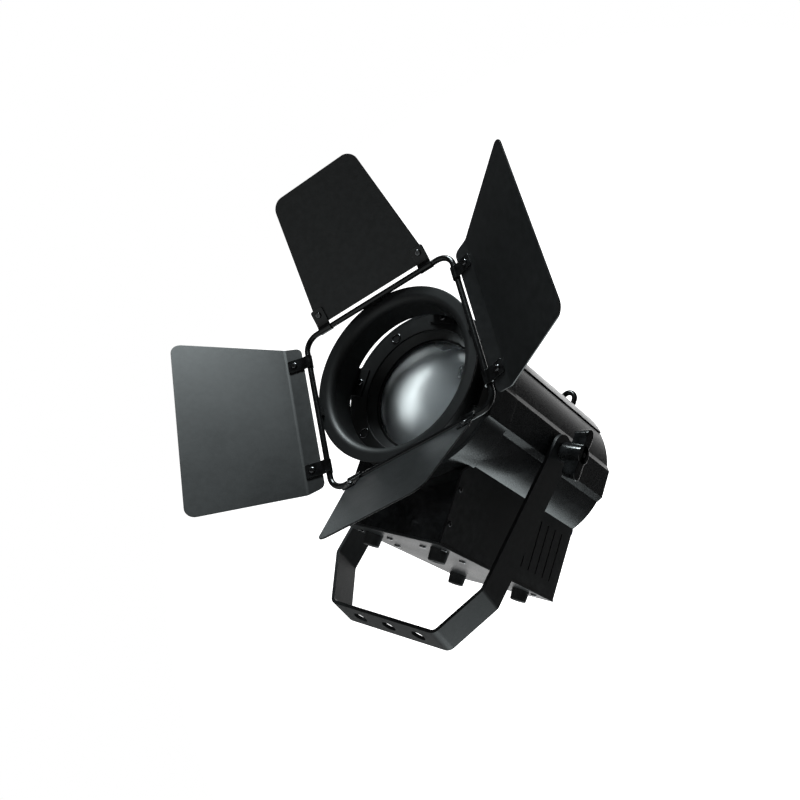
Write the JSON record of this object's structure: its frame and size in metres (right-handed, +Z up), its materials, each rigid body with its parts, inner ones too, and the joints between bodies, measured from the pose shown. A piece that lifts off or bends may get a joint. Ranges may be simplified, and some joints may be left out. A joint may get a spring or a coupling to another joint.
{
  "type": "led fresnel spotlight with barn doors",
  "caption": "Small LED fresnel spotlight: finned barrel over a driver box, zoom lens, four folding barn doors on a rotating ring, tilting in a flat steel yoke with wing knobs.",
  "frame": {"origin": "centre of the yoke base's middle hole, on the base's outer face", "axes": "+Z up along the yoke arms, -Y the way the lamp faces, +X towards the lamp's left-hand side as it faces forward"},
  "size_m": [0.3554, 0.3912, 0.3218],
  "materials": {
    "powder_black_shell": "fine matt black powder coat on extruded aluminium",
    "powder_black": "fine matt texture powder coat",
    "gloss_cover": "smooth satin-gloss black",
    "satin_black_steel": "smooth black coated steel",
    "black_screw": "black oxide screw",
    "knob_plastic": "moulded gloss black plastic",
    "nylon_washer": "black nylon",
    "lens_glass": "clear pressed glass lens",
    "black_aluminium": "black anodised aluminium",
    "steel_rod": "ground steel",
    "reflector_aluminium": "bright reflector",
    "led_board": "metal-core board",
    "led_phosphor": "yellow phosphor",
    "sink_aluminium": "extruded fins",
    "fan_plastic": "moulded black plastic",
    "circuit_board": "green circuit board",
    "supply_case": "perforated case",
    "panel_black": "black panel",
    "display_glass": "dark window",
    "button_rubber": "grey button",
    "socket_blue": "blue locking power socket",
    "socket_grey": "grey locking power socket",
    "foot_rubber": "soft rubber"
  },
  "bodies": {
    "yoke": {"yoke_bracket": "powder_black"},
    "head": {"barrel_shell": "powder_black_shell", "top_cover": "powder_black_shell", "front_collar": "powder_black_shell", "rear_cap": "powder_black_shell", "front_plate": "powder_black", "front_plate_screws": "black_screw", "retaining_brackets": "powder_black", "bracket_screws": "black_screw", "light_baffle": "powder_black_shell", "guide_rods": "steel_rod", "bulkhead": "powder_black_shell", "reflector": "reflector_aluminium", "led_module": "led_board", "led_emitter": "led_phosphor", "heat_sink": "sink_aluminium", "fan_frame": "fan_plastic", "driver_box": "powder_black", "box_front_cover": "gloss_cover", "base_plate": "powder_black", "rubber_feet": "foot_rubber", "base_screws": "black_screw", "side_screws": "black_screw", "power_supply": "supply_case", "driver_board": "circuit_board", "control_board": "circuit_board", "rear_panel": "panel_black", "display_window": "display_glass", "power_inlet": "socket_blue", "power_outlet": "socket_grey", "data_in": "panel_black", "data_out": "panel_black", "safety_eye": "satin_black_steel", "pivot_washers": "nylon_washer"},
    "zoom_carriage": {"lens": "lens_glass", "lens_ring": "black_aluminium", "lens_holder": "black_aluminium", "zoom_knob": "knob_plastic"},
    "fan_rotor": {"fan_rotor": "fan_plastic"},
    "knob_right": {"tilt_knob_right": "knob_plastic"},
    "knob_left": {"tilt_knob_left": "knob_plastic"},
    "door_set": {"door_ring": "powder_black", "rod_frame": "satin_black_steel", "weld_tabs": "satin_black_steel"},
    "button_1": {"button_1": "button_rubber"},
    "button_2": {"button_2": "button_rubber"},
    "button_3": {"button_3": "button_rubber"},
    "button_4": {"button_4": "button_rubber"},
    "door_top": {"door_top": "powder_black", "clips_top": "satin_black_steel", "clip_screws_top": "black_screw"},
    "door_left": {"door_left": "powder_black", "clips_left": "satin_black_steel", "clip_screws_left": "black_screw"},
    "door_bottom": {"door_bottom": "powder_black", "clips_bottom": "satin_black_steel", "clip_screws_bottom": "black_screw"},
    "door_right": {"door_right": "powder_black", "clips_right": "satin_black_steel", "clip_screws_right": "black_screw"}
  },
  "joints": [
    {"name": "head_tilt", "type": "hinge", "parent": "yoke", "child": "head", "pos_m": [0, 0, 0.1905], "axis": [1, 0, 0], "range_deg": [-106.46, 23.54]},
    {"name": "knob_right_turn", "type": "hinge", "parent": "head", "child": "knob_right", "pos_m": [0.0755, 0, 0.1905], "axis": [1, 0, 0], "continuous": true},
    {"name": "knob_left_turn", "type": "hinge", "parent": "head", "child": "knob_left", "pos_m": [-0.0755, 0, 0.1905], "axis": [-1, 0, 0], "continuous": true},
    {"name": "zoom_slide", "type": "slide", "parent": "head", "child": "zoom_carriage", "axis": [0, 0.959, 0.2833], "range_m": [0, 0.034]},
    {"name": "fan_spin", "type": "hinge", "parent": "head", "child": "fan_rotor", "pos_m": [0, 0.06024, 0.21247], "axis": [0, 0.959, 0.2833], "continuous": true},
    {"name": "door_set_turn", "type": "hinge", "parent": "head", "child": "door_set", "pos_m": [0, -0.14594, 0.15155], "axis": [0, -0.959, -0.2833], "continuous": true},
    {"name": "button_1_press", "type": "slide", "parent": "head", "child": "button_1", "axis": [0, -0.959, -0.2833], "range_m": [0, 0.001], "stiffness_N_per_m": 600},
    {"name": "button_2_press", "type": "slide", "parent": "head", "child": "button_2", "axis": [0, -0.959, -0.2833], "range_m": [0, 0.001], "stiffness_N_per_m": 600},
    {"name": "button_3_press", "type": "slide", "parent": "head", "child": "button_3", "axis": [0, -0.959, -0.2833], "range_m": [0, 0.001], "stiffness_N_per_m": 600},
    {"name": "button_4_press", "type": "slide", "parent": "head", "child": "button_4", "axis": [0, -0.959, -0.2833], "range_m": [0, 0.001], "stiffness_N_per_m": 600},
    {"name": "door_top_swing", "type": "hinge", "parent": "door_set", "child": "door_top", "pos_m": [-0.0434, -0.16328, 0.21021], "axis": [0.8155, -0.164, 0.555], "range_deg": [-62.8, 47.2]},
    {"name": "door_left_swing", "type": "hinge", "parent": "door_set", "child": "door_left", "pos_m": [-0.06116, -0.13365, 0.10993], "axis": [-0.5787, -0.2311, 0.7821], "range_deg": [-51.4, 58.6]},
    {"name": "door_bottom_swing", "type": "hinge", "parent": "door_set", "child": "door_bottom", "pos_m": [0.0434, -0.12861, 0.09289], "axis": [-0.8155, 0.164, -0.555], "range_deg": [-74.1, 35.9]},
    {"name": "door_right_swing", "type": "hinge", "parent": "door_set", "child": "door_right", "pos_m": [0.06116, -0.15824, 0.19318], "axis": [0.5787, 0.2311, -0.7821], "range_deg": [-48.6, 61.4]}
  ]
}
